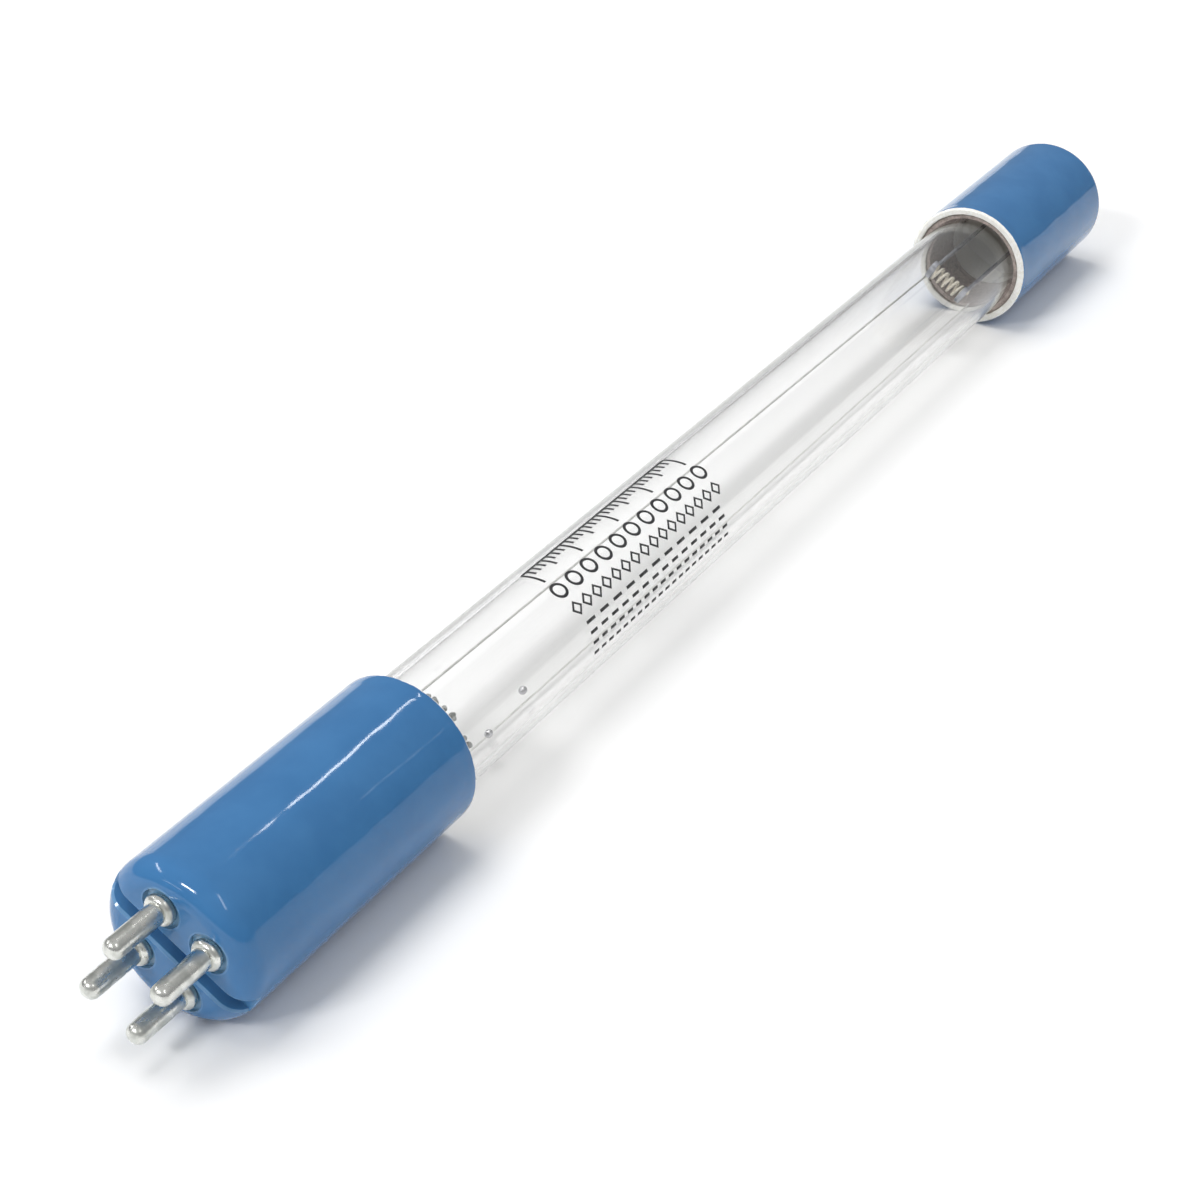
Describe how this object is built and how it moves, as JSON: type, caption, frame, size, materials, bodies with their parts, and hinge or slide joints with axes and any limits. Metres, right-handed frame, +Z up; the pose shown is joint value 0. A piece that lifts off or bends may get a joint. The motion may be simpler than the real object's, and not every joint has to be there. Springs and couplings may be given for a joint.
{
  "type": "uv bulb",
  "caption": "Straight germicidal lamp: a clear sealed quartz tube with a slotted blue-glazed pin base at one end, a plain blue end cap at the other and coil cathodes inside.",
  "frame": {"origin": "middle of the bottom of the lamp's box, on the surface that it lies on", "axes": "+X along the tube from the pins to the end cap, +Z up"},
  "size_m": [0.2314, 0.019, 0.019],
  "materials": {
    "quartz": "clear polished fused quartz",
    "blue_glaze": "glossy blue glaze over white ceramic",
    "plated_pin": "worn bright plating",
    "cement": "rough grey-brown cement",
    "emitter": "white oxide coating on a wound wire",
    "nickel_wire": "drawn wire",
    "molybdenum": "rolled foil",
    "mercury": "liquid metal"
  },
  "bodies": {
    "root": {"quartz_tube": "quartz", "pin_base": "blue_glaze", "end_cap": "blue_glaze", "base_cement": "cement", "end_cement": "cement", "base_cathode": "emitter", "end_cathode": "emitter", "mercury_beads": "mercury", "contact_pin_1": "plated_pin", "contact_pin_2": "plated_pin", "contact_pin_3": "plated_pin", "contact_pin_4": "plated_pin", "base_support_1": "nickel_wire", "base_foil_1": "molybdenum", "base_support_2": "nickel_wire", "base_foil_2": "molybdenum", "end_support_1": "nickel_wire", "end_foil_1": "molybdenum", "end_support_2": "nickel_wire", "end_foil_2": "molybdenum", "base_lead_1": "nickel_wire", "return_wire_1": "nickel_wire", "base_lead_2": "nickel_wire", "return_wire_2": "nickel_wire"}
  },
  "joints": []
}
